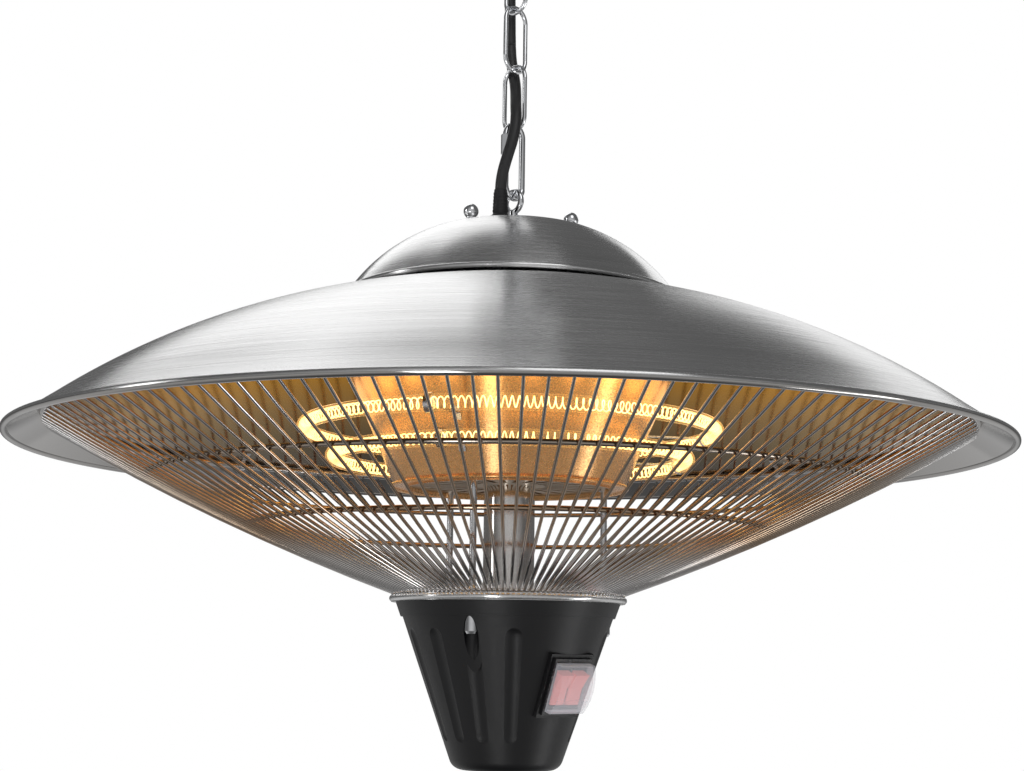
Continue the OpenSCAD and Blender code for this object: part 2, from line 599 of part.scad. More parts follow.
// Collar: a slotted ring that the wires' inner ends sit on
module grille_collar() color("silver") hung() difference() {
    rotate_extrude($fn = 180) union() {
        translate([collar_r - 7, -housing_drop + fit]) square([6, collar_h - fit]);
        translate([rod_circle_r - 5, -housing_drop + fit]) square([collar_r - rod_circle_r, 1.6]);
        translate([collar_r - 2, -housing_drop + fit + 2.05]) circle(r = 2.05, $fn = 32);
    }
    at_each(rod_angles) translate([rod_circle_r, 0, -housing_drop - 1]) cylinder(h = 12, d = rod_d + 2 * fit);
}

// Column, its plug, the rods and their nuts
cable_d = 6;
cable_r = 9.6;
cable_angle = 0;
module centre_tube() color("silver") hung() difference() {
    union() {
        translate([0, 0, -housing_drop + fit])
            cylinder(h = hat_flat_z - hat_t - 2 * fit + housing_drop, d = column_d);
        translate([0, 0, -housing_drop + fit]) cylinder(h = 3, d = column_d + 9);
    }
    translate([0, 0, -housing_drop - 1]) cylinder(h = 400, d = column_d - 2 * column_wall);
}
module column_plug() color("gray") hung() translate([0, 0, plug_bottom_z]) difference() {
    cylinder(h = plug_h, d = column_d - 2 * column_wall - 2 * fit);
    translate([0, 0, -1]) cylinder(h = plug_h + 2, d = eye_bolt_d + 2 * fit);
    rotate([0, 0, cable_angle]) translate([cable_r, 0, -1]) cylinder(h = plug_h + 2, d = cable_d + 2 * fit);
}
rod_top_z = ring_top_z + fit + vent_plate_t + 5;
cap_nut_top_z = -housing_drop - band_h - 2 * fit;
cap_nut_h = 10.4;
cap_nut_d = 8.1;
rod_shoulder_d = 6;
module support_rods() color("silver") hung() at_each(rod_angles) translate([rod_circle_r, 0, 0]) union() {
    translate([0, 0, cap_nut_top_z - 6]) cylinder(h = rod_top_z - cap_nut_top_z + 6, d = rod_d);
    translate([0, 0, ring_top_z - 1.5]) cylinder(h = 1.5, d = rod_shoulder_d);
}
module rod_nuts() color("gainsboro") hung() at_each(rod_angles) translate([rod_circle_r, 0, 0]) difference() {
    translate([0, 0, ring_top_z + fit + vent_plate_t + fit]) cylinder(h = 3.2, d = 8, $fn = 6);
    translate([0, 0, ring_top_z - 12]) cylinder(h = 30, d = rod_d + 2 * fit);
}
module cap_nuts() color("whitesmoke") hung() at_each(rod_angles)
    translate([rod_circle_r, 0, cap_nut_top_z - cap_nut_h]) difference() {
        union() {
            cylinder(h = 1.5, d1 = cap_nut_d - 2, d2 = cap_nut_d);
            translate([0, 0, 1.5]) cylinder(h = cap_nut_h - 1.5, d = cap_nut_d);
        }
        translate([0, 0, cap_nut_h - 7]) cylinder(h = cap_nut_h, d = rod_d + 2 * fit);
    }

// Housing: a tapered shell with a band, flutes, three nut channels and the switch's pad
housing_bottom_z = -housing_drop - housing_h;
corner_r = 8;
cone_tilt = atan((housing_top_r - 1.3 - housing_bottom_r) / (housing_h - corner_r * 0.7));
corner_centre = [housing_bottom_r - corner_r * 0.86, housing_bottom_z + corner_r];
function cone_skin(z) = housing_top_r - 1.3 - (-housing_drop - z) * tan(cone_tilt);
module housing_outline() union() {
    polygon([[0, -housing_drop], [housing_top_r, -housing_drop],
        [housing_top_r - band_h * tan(cone_tilt), -housing_drop - band_h], [0, -housing_drop - band_h]]);
    polygon([[0, -housing_drop - 1], [cone_skin(-housing_drop - 1), -housing_drop - 1],
        corner_centre + corner_r * [cos(cone_tilt), -sin(cone_tilt)], corner_centre, [0, corner_centre[1]]]);
    translate(corner_centre) circle(r = corner_r, $fn = 64);
    translate([0, housing_bottom_z]) square([corner_centre[0], corner_r + 1]);
}
lid_t = 2;
module housing_hollow() polygon([[0, -housing_drop + 1], [housing_top_r - 2 * housing_wall, -housing_drop + 1],
    [housing_top_r - 2 * housing_wall, -housing_drop - lid_t - 5 * fit],
    [cone_skin(-housing_drop - band_h) - housing_wall, -housing_drop - band_h],
    [cone_skin(housing_bottom_z + corner_r) - housing_wall - 1, housing_bottom_z + corner_r],
    [corner_centre[0], housing_bottom_z + housing_wall], [0, housing_bottom_z + housing_wall]]);
channel_r = cap_nut_d / 2 + 0.35;
module channels(r, top) at_each(rod_angles) translate([rod_circle_r, 0, -housing_drop - 45])
    cylinder(h = 45 + top, r = r);
module flute(a) rotate([0, 0, a]) translate([cone_skin(-housing_drop - 48), 0, -housing_drop - 48])
    rotate([0, cone_tilt, 0]) translate([9.3, 0, -31]) union() {
        cylinder(h = 60, r1 = 9.6, r2 = 10.6);
        translate([0, 0, 60]) sphere(r = 10.6, $fn = 48);
        sphere(r = 9.6, $fn = 48);
    }
switch_z = -housing_drop - switch_drop;
module at_switch() rotate([0, 0, switch_angle]) translate([cone_skin(switch_z) - 0.2, 0, switch_z])
    rotate([0, cone_tilt, 0]) children();
frame_w = 2 * rocker_w + 9;
frame_h = rocker_h + 12;
pad_margin = 2.2;
pad_x = 0.6;
module housing() color("#262626") hung() difference() {
    union() {
        difference() {
            rotate_extrude($fn = 180) intersection() {
                housing_outline();
                translate([0, -1000]) square([1000, 1000]);
            }
            rotate_extrude($fn = 180) housing_hollow();
            for (i = [0:flute_count - 1]) let (a = rod_angles[0] + i * 360 / flute_count)
                if (abs(a - 360 * round(a / 360) - switch_angle) > 26) flute(a);
        }
        intersection() {
            rotate_extrude($fn = 180) intersection() {
                housing_outline();
                translate([0, -1000]) square([1000, 1000]);
            }
            channels(channel_r + housing_wall, -lid_t - fit);
        }
        at_switch() translate([-6, -frame_w / 2 - pad_margin, -frame_h / 2 - pad_margin])
            cube([6 + pad_x, frame_w + 2 * pad_margin, frame_h + 2 * pad_margin]);
    }
    channels(channel_r, -band_h - fit);
    at_each(rod_angles) translate([rod_circle_r, 0, -housing_drop - 20]) cylinder(h = 25, d = rod_d + 2 * fit);
    at_switch() translate([-20, -body_w / 2 - fit, -body_h / 2 - fit])
        cube([40, body_w + 2 * fit, body_h + 2 * fit]);
}

module housing_lid() color("#262626") hung() difference() {
    translate([0, 0, -housing_drop - lid_t]) cylinder(h = lid_t, r = housing_top_r - 2 * housing_wall - fit);
    translate([cable_r * cos(cable_angle), cable_r * sin(cable_angle), -housing_drop - lid_t - 1])
        cylinder(h = lid_t + 2, d = cable_d + 2 * fit);
    at_each(rod_angles) translate([rod_circle_r, 0, -housing_drop - lid_t - 1])
        cylinder(h = lid_t + 2, d = rod_d + 2 * gap);
}

// Switch: body, bezel, two sprung rockers and a clear cover
body_w = 2 * rocker_w + 4;
body_h = rocker_h + 5;
body_depth = 20;
frame_t = 1.8;
frame_x = pad_x + fit;
pivot_x = -1;
axle_d = 2;
rocker_gap = 0.3;
pocket_w = rocker_w + 2 * rocker_gap;
rocker_y = (pocket_w + 1.2) / 2;
module rocker_pockets(depth) for (s = [-1, 1])
    translate([pivot_x - depth, s * rocker_y - pocket_w / 2, -rocker_h / 2 - 0.6])
        cube([depth + 10, pocket_w, rocker_h + 1.2]);
module switch_body() color("#1c1c1c") hung() at_switch() difference() {
    union() {
        translate([frame_x - fit - body_depth, -body_w / 2, -body_h / 2]) cube([body_depth, body_w, body_h]);
        for (y = [-6, 6], z = [-7, 0, 7]) translate([frame_x - body_depth - 7, y - 0.4, z - 2.4]) cube([8, 0.8, 4.8]);
    }
    rocker_pockets(8.5);
    translate([pivot_x, body_w, 0]) rotate([90, 0, 0]) cylinder(h = 2 * body_w, d = axle_d + 2 * gap);
}
module switch_frame() color("#202020") hung() at_switch() difference() {
    translate([frame_x, -frame_w / 2, -frame_h / 2]) cube([frame_t, frame_w, frame_h]);
    rocker_pockets(8.5);
}
rocker_front = 6.1;
module rocker(s) color("red") hung() at_switch()
    translate([pivot_x, s * rocker_y, 0]) rotate([0, rocker_throw / 2, 0]) union() {
        rotate([90, 0, 0]) translate([0, 0, -rocker_w / 2]) linear_extrude(rocker_w)
            polygon([[-3.4, -4], [0.2, -rocker_h / 2 + 1.2], [rocker_front, -rocker_h / 2 + 1.4],
                [rocker_front - 1.7, 0], [rocker_front, rocker_h / 2 - 1.4], [0.2, rocker_h / 2 - 1.2], [-3.4, 4]]);
        translate([0, pocket_w / 2 + 0.5, 0]) rotate([90, 0, 0]) cylinder(h = pocket_w + 1, d = axle_d);
    }
module rocker_left() rocker(-1);
module rocker_right() rocker(1);
cover_w = frame_w - 2.5;
cover_h = rocker_h + 7;
module cover_shell(w, h, x0, x1, r) intersection() {
    translate([x0, -w / 2, -h / 2]) cube([x1 - x0, w, h]);
    translate([x1 - r, w, 0]) rotate([90, 0, 0]) cylinder(h = 2 * w, r = r);
}
module switch_cover() color("lightblue") hung() at_switch() {
    base = frame_x + frame_t + fit;
    difference() {
        cover_shell(cover_w, cover_h, base, base + cover_depth, 30);
        cover_shell(cover_w - 2 * cover_wall, cover_h - 2 * cover_wall, base - 1,
            base + cover_depth - cover_wall, 30 - cover_wall);
    }
}

// Inside: the terminal block under the cap, the cable down the column, the cut-out
module terminal_block() color("ivory") hung() rotate([0, 0, 45])
    translate([17, -8, hat_flat_z + fit]) difference() {
        cube([12, 24, 9]);
        for (y = [4, 12, 20]) translate([-1, y, 4.5]) rotate([0, 90, 0]) cylinder(h = 14, d = 3);
    }
module inner_cable() color("black") hung() rotate([0, 0, cable_angle])
    translate([cable_r, 0, -housing_drop - 14]) cylinder(h = hat_flat_z + housing_drop + 24, d = cable_d);
module thermal_cutout() color("gainsboro") hung() rotate([0, 0, -20])
    translate([reflector_hole_r - 18, 0, ring_top_z + fit + vent_plate_t + fit]) union() {
        cylinder(h = 6, d = 12);
        translate([0, 0, 6]) cylinder(h = 4, d = 8);
    }

ceiling_plate();
ceiling_hook();
hook_nut();
cord_grommet();
chain_link_1();
chain_link_2();
chain_link_3();
screw_link();
screw_link_nut();
cord_upper();
cord_lower();
cord_tail();
eye_bolt();
eye_bolt_nuts();
strain_relief();
strain_relief_nut();
cap();
cap_studs();
cap_spacers();
ball_nuts();
terminal_block();
hat();
reflector();
reflector_ring();
vent_plate();
upper_tube();
lower_tube();
upper_coil();
lower_coil();
end_caps();
lead_pins();
tube_clips();
grille_wires();
grille_cross_rings();
grille_outer_ring();
grille_collar();
grille_clips();
centre_tube();
column_plug();
inner_cable();
support_rods();
rod_nuts();
cap_nuts();
housing();
housing_lid();
thermal_cutout();
switch_body();
switch_frame();
rocker_left();
rocker_right();
switch_cover();
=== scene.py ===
import math

import bpy
from mathutils import Matrix, Vector


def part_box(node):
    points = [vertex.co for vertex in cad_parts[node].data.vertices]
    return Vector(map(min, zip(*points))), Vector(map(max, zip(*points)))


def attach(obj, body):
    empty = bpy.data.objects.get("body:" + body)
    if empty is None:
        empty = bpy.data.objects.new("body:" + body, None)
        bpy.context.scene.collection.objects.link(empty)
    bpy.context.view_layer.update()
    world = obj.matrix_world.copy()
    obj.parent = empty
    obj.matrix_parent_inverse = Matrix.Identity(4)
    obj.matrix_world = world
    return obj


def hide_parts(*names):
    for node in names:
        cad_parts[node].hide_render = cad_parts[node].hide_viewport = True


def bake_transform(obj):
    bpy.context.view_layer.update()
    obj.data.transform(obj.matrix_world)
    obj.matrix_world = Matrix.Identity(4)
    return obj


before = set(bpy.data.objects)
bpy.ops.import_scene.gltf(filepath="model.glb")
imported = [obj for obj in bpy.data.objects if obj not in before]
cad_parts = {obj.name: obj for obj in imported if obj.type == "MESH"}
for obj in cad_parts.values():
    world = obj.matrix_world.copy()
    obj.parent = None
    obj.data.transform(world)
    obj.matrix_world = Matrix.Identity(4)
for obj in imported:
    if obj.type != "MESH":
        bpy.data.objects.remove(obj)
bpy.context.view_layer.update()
scene = bpy.context.scene
scene.view_settings.view_transform = "Standard"

MM = 0.001
RIM_Z = -348.5 * MM
HAT_R = 0.3
HAT_MIDDLE = (0.0, 0.0, -0.33)
BRUSHED_GREYS = (0.62, 0.78)
GLOW_LAMPS = 20
GLOW_R = 0.117
FLOOR_Z = -2.2
FLOOR_HALF = 6.0


# Camera, solved from the rim, the cap, the rings, the housing and the collar
def make_camera():
    data = bpy.data.cameras.new("camera")
    focal_px, width_px = 1700.9, 1024.0
    data.sensor_width = 36.0
    data.lens = data.sensor_width * focal_px / width_px
    data.clip_start = 0.01
    data.clip_end = 50.0
    cam = bpy.data.objects.new("camera", data)
    scene.collection.objects.link(cam)
    place = Matrix.Translation((0.00065, -1.0343, RIM_Z - 0.1217))
    pitch = Matrix.Rotation(math.radians(99.06), 4, "X")
    roll = Matrix.Rotation(math.radians(0.76), 4, "Z")
    cam.matrix_world = place @ pitch @ roll
    scene.camera = cam


make_camera()


class Nodes:
    """A material and short ways to add nodes to it."""

    def __init__(self, name):
        self.material = bpy.data.materials.new(name)
        self.material.use_nodes = True
        self.tree = self.material.node_tree
        self.shader = self.tree.nodes["Principled BSDF"]

    def set(self, **values):
        for key, value in values.items():
            self.shader.inputs[key.replace("_", " ")].default_value = value
        return self

    def add(self, kind, values=None, **props):
        node = self.tree.nodes.new("ShaderNode" + kind)
        for key, value in props.items():
            setattr(node, key, value)
        for key, value in (values or {}).items():
            if isinstance(value, bpy.types.NodeSocket):
                self.tree.links.new(value, node.inputs[key])
            else:
                node.inputs[key].default_value = value
        return node

    def math(self, op, a, b=0.0, c=0.0):
        return self.add("Math", {0: a, 1: b, 2: c}, operation=op).outputs[0]

    def ramp(self, value, stops):
        node = self.add("ValToRGB", {"Fac": value})
        elements = node.color_ramp.elements
        while len(elements) < len(stops):
            elements.new(0.5)
        for element, (position, colour) in zip(elements, stops):
            element.position = position
            element.color = (*colour, 1.0)
        return node.outputs["Color"]

    def grey_ramp(self, value, stops):
        return self.ramp(value, [(p, (g, g, g)) for p, g in stops])

    def mix(self, factor, a, b, blend="MIX"):
        node = self.add("Mix", data_type="RGBA", blend_type=blend)
        for index, value in ((0, factor), (6, a), (7, b)):
            if isinstance(value, bpy.types.NodeSocket):
                self.tree.links.new(value, node.inputs[index])
            elif index:
                node.inputs[index].default_value = (*value, 1.0)
            else:
                node.inputs[index].default_value = value
        return node.outputs[2]

    def place(self):
        return self.add("TexCoord").outputs["Object"]

    def parts(self, vector):
        node = self.add("SeparateXYZ", {0: vector})
        return node.outputs[0], node.outputs[1], node.outputs[2]

    def vector(self, x, y, z):
        return self.add("CombineXYZ", {0: x, 1: y, 2: z}).outputs[0]

    def noise(self, vector, scale, detail=2.0, rough=0.5):
        return self.add(
            "TexNoise", {"Vector": vector, "Scale": scale, "Detail": detail, "Roughness": rough}
        ).outputs["Fac"]

    def radius(self, vector):
        x, y, _ = self.parts(vector)
        return self.math("SQRT", self.math("ADD", self.math("MULTIPLY", x, x), self.math("MULTIPLY", y, y)))

    def link(self, value, socket):
        self.tree.links.new(value, self.shader.inputs[socket])
        return self

    def bump(self, height, strength, distance=0.001):
        node = self.add("Bump", {"Strength": strength, "Distance": distance, "Height": height})
        return self.link(node.outputs[0], "Normal")


def turned(n, vector, along, across):
    """Streaks that run round the axis: slow along the turn, fast across it."""
    x, y, z = n.parts(vector)
    r = n.math("ADD", n.radius(vector), 0.0001)
    u = n.math("MULTIPLY", n.math("DIVIDE", x, r), along)
    v = n.math("MULTIPLY", n.math("DIVIDE", y, r), along)
    w = n.math("MULTIPLY", n.math("SUBTRACT", r, z), across)
    return n.vector(u, v, w)


def brushed(name, low, high, rough=(0.2, 0.3), along=3.0, across=900.0):
    """Steel brushed round the axis. Its greys run from low to high."""
    n = Nodes(name)
    place = n.place()
    fine = n.noise(turned(n, place, along, across), 1.0, 3.0, 0.6)
    broad = n.noise(turned(n, place, 1.2, across / 6), 1.0, 2.0, 0.5)
    both = n.math("ADD", n.math("MULTIPLY", fine, 0.7), n.math("MULTIPLY", broad, 0.3))
    n.link(n.grey_ramp(both, [(0.3, low), (0.7, high)]), "Base Color")
    n.link(n.grey_ramp(fine, [(0.3, rough[0]), (0.7, rough[1])]), "Roughness")
    n.set(Metallic=1.0, Anisotropic=0.85, Anisotropic_Rotation=0.25)
    n.link(n.add("Tangent", direction_type="RADIAL", axis="Z").outputs[0], "Tangent")
    n.bump(fine, 0.06, 0.0004)
    return n


def plain_metal(name, colour, rough, spread=0.06):
    """Plated or polished metal whose roughness varies by spread."""
    n = Nodes(name)
    grain = n.noise(n.place(), 400.0, 3.0, 0.6)
    n.link(n.grey_ramp(grain, [(0.3, max(0.02, rough - spread)), (0.7, rough + spread)]), "Roughness")
    n.link(n.mix(grain, tuple(c * 0.92 for c in colour), tuple(min(1.0, c * 1.05) for c in colour)), "Base Color")
    n.set(Metallic=1.0)
    return n


def moulded(name, colour, rough, grain_scale=1800.0, bump=0.15):
    """Plastic, rubber or ceramic with a fine grain."""
    n = Nodes(name)
    place = n.place()
    grain = n.noise(place, grain_scale, 4.0, 0.6)
    broad = n.noise(place, 30.0, 2.0, 0.5)
    n.link(n.mix(broad, tuple(c * 0.8 for c in colour), tuple(c * 1.25 for c in colour)), "Base Color")
    n.link(n.grey_ramp(grain, [(0.3, rough - 0.07), (0.7, rough + 0.07)]), "Roughness")
    n.bump(grain, bump, 0.0002)
    return n


def hat_metal():
    """Brushed steel outside. Inside it is gold near the elements and greys towards the brim: a painted glow of the
    elements, with a painted warm reflection in its specular tint.
    """
    n = brushed("hat_steel", *BRUSHED_GREYS)
    outside = n.shader.inputs["Base Color"].links[0].from_socket
    place = n.place()
    r = n.radius(place)
    # Painted glow: the elements' warm light, gold near them and greying towards the brim.
    inside = n.ramp(
        n.math("DIVIDE", r, HAT_R),
        [(0.40, (0.74, 0.38, 0.08)), (0.56, (0.68, 0.36, 0.09)), (0.72, (0.6, 0.38, 0.16)),
         (0.86, (0.42, 0.33, 0.21)), (0.94, (0.38, 0.37, 0.36))],
    )
    normal = n.parts(n.add("NewGeometry").outputs["Normal"])[2]
    under = n.grey_ramp(n.math("ADD", n.math("MULTIPLY", normal, 0.5), 0.5), [(0.44, 1.0), (0.5, 0.0)])
    n.link(n.mix(under, outside, inside), "Base Color")
    rough = n.shader.inputs["Roughness"].links[0].from_socket
    n.link(n.mix(under, rough, (0.13, 0.13, 0.13)), "Roughness")
    # Painted reflection: the specular tint is orange near the elements and white at the brim.
    painted_warm_reflection = n.ramp(
        n.math("DIVIDE", r, HAT_R), [(0.7, (0.9, 0.52, 0.22)), (0.86, (0.86, 0.72, 0.56)), (0.92, (1.0, 1.0, 1.0))])
    n.link(n.mix(under, (1.0, 1.0, 1.0), painted_warm_reflection), "Specular Tint")
    return n


def reflector_metal():
    """Polished sheet with fine ribs round it. Its gold, which varies with height, and a faint emission paint the
    elements' light on it.
    """
    n = Nodes("reflector_gold")
    place = n.place()
    x, y, z = n.parts(place)
    fine = n.noise(turned(n, place, 40.0, 1400.0), 1.0, 3.0, 0.6)
    drawn = n.vector(n.math("MULTIPLY", x, 900.0), n.math("MULTIPLY", y, 900.0), n.math("MULTIPLY", z, 60.0))
    upright = n.noise(drawn, 1.0)
    both = n.math("ADD", n.math("MULTIPLY", fine, 0.6), n.math("MULTIPLY", upright, 0.4))
    height = n.math("DIVIDE", n.math("SUBTRACT", z, RIM_Z), 0.1)
    gold = n.ramp(height, [(0.0, (0.66, 0.38, 0.18)), (0.45, (0.8, 0.44, 0.14)), (1.0, (0.66, 0.33, 0.09))])
    n.link(n.mix(both, gold, (0.95, 0.82, 0.6), "MULTIPLY"), "Base Color")
    n.link(n.grey_ramp(both, [(0.3, 0.2), (0.7, 0.32)]), "Roughness")
    n.set(Metallic=1.0, Anisotropic=0.85, Anisotropic_Rotation=0.25)
    n.link(n.add("Tangent", direction_type="RADIAL", axis="Z").outputs[0], "Tangent")
    # Painted glow: a faint gold emission, though the sheet is no lamp.
    n.link(n.mix(both, gold, (1.0, 0.7, 0.36)), "Emission Color")
    n.set(Emission_Strength=0.07)
    n.bump(both, 0.12, 0.0004)
    return n


def quartz():
    """Clear tube, lit from inside, that shows most at its edges."""
    n = Nodes("hot_quartz")
    grain = n.noise(n.place(), 120.0, 2.0)
    edge = n.add("LayerWeight", {"Blend": 0.35}).outputs["Facing"]
    n.link(n.grey_ramp(edge, [(0.3, 0.03), (0.7, 0.18), (0.95, 0.8)]), "Alpha")
    n.link(n.ramp(grain, [(0.3, (1.0, 0.62, 0.2)), (0.7, (1.0, 0.72, 0.3))]), "Base Color")
    n.link(n.ramp(edge, [(0.0, (1.0, 0.72, 0.3)), (1.0, (1.0, 0.48, 0.1))]), "Emission Color")
    n.set(Emission_Strength=0.45, Roughness=0.08)
    return n


def glowing_wire():
    n = Nodes("glowing_wire")
    grain = n.noise(n.place(), 200.0, 2.0)
    n.link(n.ramp(grain, [(0.3, (1.0, 0.68, 0.2)), (0.7, (1.0, 0.82, 0.36))]), "Emission Color")
    n.set(Emission_Strength=2.6, Roughness=0.5, Base_Color=(1.0, 0.6, 0.2, 1.0))
    return n


def grille_chrome():
    """Chromed wire whose colour by radius paints the reflections it shows: near white by the collar, brown under
    the elements' warm glow, grey at the brim.
    """
    n = Nodes("grille_chrome")
    place = n.place()
    r = n.radius(place)
    # Painted reflection: near white by the collar, brown under the elements' glow, grey at the brim.
    painted_reflection_tint = n.ramp(
        n.math("DIVIDE", r, HAT_R),
        [(0.22, (0.9, 0.9, 0.9)), (0.38, (0.74, 0.71, 0.68)), (0.5, (0.44, 0.32, 0.22)),
         (0.72, (0.4, 0.34, 0.28)), (0.86, (0.5, 0.5, 0.5))],
    )
    grain = n.noise(place, 60.0, 2.0)
    n.link(n.mix(grain, painted_reflection_tint, (0.85, 0.82, 0.8), "MULTIPLY"), "Base Color")
    n.link(n.grey_ramp(grain, [(0.3, 0.12), (0.7, 0.18)]), "Roughness")
    n.set(Metallic=1.0)
    return n


def clear_cover():
    n = Nodes("clear_cover")
    place = n.place()
    mist = n.noise(place, 260.0, 3.0)
    edge = n.add("LayerWeight", {"Blend": 0.45}).outputs["Facing"]
    n.link(n.grey_ramp(edge, [(0.0, 0.15), (0.6, 0.36), (1.0, 0.95)]), "Alpha")
    n.link(n.ramp(mist, [(0.3, (0.86, 0.89, 0.96)), (0.7, (0.95, 0.96, 1.0))]), "Base Color")
    n.link(n.grey_ramp(mist, [(0.3, 0.12), (0.7, 0.26)]), "Roughness")
    # Painted sheen: a faint bluish emission lights the clear cover, which is no lamp.
    n.set(Emission_Color=(0.9, 0.92, 1.0, 1.0), Emission_Strength=0.14)
    return n


def finish_nodes():
    """Gives each solid its material. The hat and the cap get finer meshes."""
    steel = brushed("brushed_steel", *BRUSHED_GREYS)
    hat = hat_metal()
    zinc = plain_metal("zinc_plate", (0.66, 0.67, 0.69), 0.24)
    chrome = plain_metal("chrome", (0.82, 0.83, 0.85), 0.08, spread=0.03)
    column = plain_metal("column_chrome", (0.9, 0.88, 0.86), 0.08, spread=0.03)
    gold = reflector_metal()
    # Dark brown sheet for the vent plate.
    dark = plain_metal("dark_brown_sheet", (0.34, 0.25, 0.15), 0.35)
    tube = quartz()
    wire = grille_chrome()
    ceramic = moulded("ceramic", (0.8, 0.76, 0.68), 0.35, 300.0, 0.05)
    black = moulded("black_plastic", (0.006, 0.006, 0.007), 0.42)
    black.set(Specular_IOR_Level=0.36)
    bezel = moulded("bezel_plastic", (0.012, 0.012, 0.014), 0.3, 900.0, 0.05)
    rubber = moulded("black_rubber", (0.018, 0.018, 0.02), 0.55, 1500.0, 0.2)
    red = moulded("red_plastic", (0.8, 0.22, 0.2), 0.22, 200.0, 0.02)
    red.set(Emission_Color=(1.0, 0.3, 0.25, 1.0), Emission_Strength=0.22)
    cover = clear_cover()
    looks = {
        hat: ["hat"],
        steel: ["cap", "grille_collar"],
        zinc: ["ceiling_plate", "ceiling_hook", "hook_nut", "cap_studs", "cap_spacers", "eye_bolt_nuts",
               "tube_clips", "grille_clips", "rod_nuts", "lead_pins", "thermal_cutout"],
        chrome: ["chain_link_1", "chain_link_2", "chain_link_3", "screw_link", "screw_link_nut", "eye_bolt",
                 "ball_nuts", "cap_nuts", "support_rods"],
        column: ["centre_tube"],
        gold: ["reflector", "reflector_ring"],
        dark: ["vent_plate"],
        tube: ["upper_tube", "lower_tube"],
        wire: ["grille_wires", "grille_cross_rings", "grille_outer_ring"],
        ceramic: ["end_caps", "terminal_block"],
        black: ["housing", "housing_lid", "column_plug"],
        bezel: ["switch_body", "switch_frame"],
        rubber: ["cord_grommet", "strain_relief", "strain_relief_nut", "inner_cable", "cord_tail"],
        red: ["rocker_left", "rocker_right"],
        cover: ["switch_cover"],
    }
    for look, names in looks.items():
        for name in names:
            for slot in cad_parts[name].material_slots:
                slot.material = look.material
    make_hat(steel.material, hat.material)


def smooth_path(points, steps):
    """A curve through the points, as Catmull-Rom spans."""
    p = [Vector(q) for q in points]
    p = [2 * p[0] - p[1]] + p + [2 * p[-1] - p[-2]]
    out = []
    for i in range(1, len(p) - 2):
        for k in range(steps):
            t = k / steps
            a, b, c, d = p[i - 1], p[i], p[i + 1], p[i + 2]
            out.append(0.5 * (2 * b + (c - a) * t + (2 * a - 5 * b + 4 * c - d) * t * t
                              + (3 * b - a - 3 * c + d) * t ** 3))
    return out + [p[-2].copy()]


def tube_mesh(name, path, radius, sides, ends=None):
    """A round tube along a path that doesn't twist. Its end faces lie square to ends, where that is given."""
    verts, faces = [], []
    up = Vector((0.0, 1.0, 0.0))
    count = len(path)
    for i, p in enumerate(path):
        t = (path[min(i + 1, count - 1)] - path[max(i - 1, 0)]).normalized()
        if ends and i in (0, count - 1):
            t = Vector(ends)
        u = (up - up.dot(t) * t).normalized()
        up = u
        v = t.cross(u)
        for k in range(sides):
            a = 2 * math.pi * k / sides
            verts.append(p + radius * (math.cos(a) * u + math.sin(a) * v))
    for i in range(count - 1):
        for k in range(sides):
            a, b = i * sides + k, i * sides + (k + 1) % sides
            faces.append((a, b, b + sides, a + sides))
    faces.append(tuple(reversed(range(sides))))
    faces.append(tuple((count - 1) * sides + k for k in range(sides)))
    mesh = bpy.data.meshes.new(name)
    mesh.from_pydata([tuple(v) for v in verts], [], faces)
    for polygon in mesh.polygons:
        polygon.use_smooth = len(polygon.vertices) == 4
    obj = bpy.data.objects.new(name, mesh)
    scene.collection.objects.link(obj)
    return obj


def arc_centre(p, q, r):
    """The centre of the arc from p to q that bulges away from the axis."""
    d = q - p
    side = Vector((d.y, -d.x)) / d.length
    return (p + q) / 2 + side * math.sqrt(r * r - d.length_squared / 4)


def arc_path(p, q, r, steps):
    p, q = Vector(p), Vector(q)
    c = arc_centre(p, q, r)
    a, b = math.atan2(p.y - c.y, p.x - c.x), math.atan2(q.y - c.y, q.x - c.x)
    return [c + r * Vector((math.cos(a + (b - a) * i / steps), math.sin(a + (b - a) * i / steps)))
            for i in range(steps + 1)]


def beside(path, t):
    """The path moved inwards by the sheet's thickness, mitred at its corners."""
    out = []
    for i, p in enumerate(path):
        before = path[i] - path[i - 1] if i else path[1] - path[0]
        after = path[i + 1] - path[i] if i < len(path) - 1 else before
        m, n = (Vector((v.y, -v.x)).normalized() * -1 for v in (before, after))
        out.append(p - t * (m + n) / (1 + m.dot(n)))
    return out


def rolled_sheet(name, skin, t, bead_r, steps=480, bead_steps=26):
    """A spun sheet whose outer edge is rolled into a bead. The skin's last point is the bead's centre."""
    centre = skin[-1]
    inner = beside(skin, t)

    def meets(path):
        a, b = path[-2] - centre, path[-1] - centre
        d = b - a
        qa, qb, qc = d.dot(d), 2 * a.dot(d), a.dot(a) - bead_r * bead_r
        u = (-qb - math.sqrt(qb * qb - 4 * qa * qc)) / (2 * qa)
        return a + u * d

    top, low = meets(skin), meets(inner)
    a0, a1 = math.atan2(top.y, top.x), math.atan2(low.y, low.x)
    if a1 > 0:
        a1 -= 2 * math.pi
    turns = [a0 + (a1 - a0) * i / bead_steps for i in range(bead_steps + 1)]
    round_bead = [centre + bead_r * Vector((math.cos(a), math.sin(a))) for a in turns]
    profile = skin[:-1] + round_bead + list(reversed(inner[:-1]))
    count = len(profile)
    verts, faces = [], []
    for i in range(steps):
        a = 2 * math.pi * i / steps
        verts += [(p.x * MM * math.cos(a), p.x * MM * math.sin(a), p.y * MM + RIM_Z) for p in profile]
    for i in range(steps):
        j = (i + 1) % steps
        for k in range(count):
            m = (k + 1) % count
            faces.append((i * count + k, i * count + m, j * count + m, j * count + k))
    mesh = bpy.data.meshes.new(name)
    mesh.from_pydata(verts, [], faces)
    mesh.shade_smooth()
    mesh.set_sharp_from_angle(angle=math.radians(28))
    obj = bpy.data.objects.new(name, mesh)
    scene.collection.objects.link(obj)
    return obj


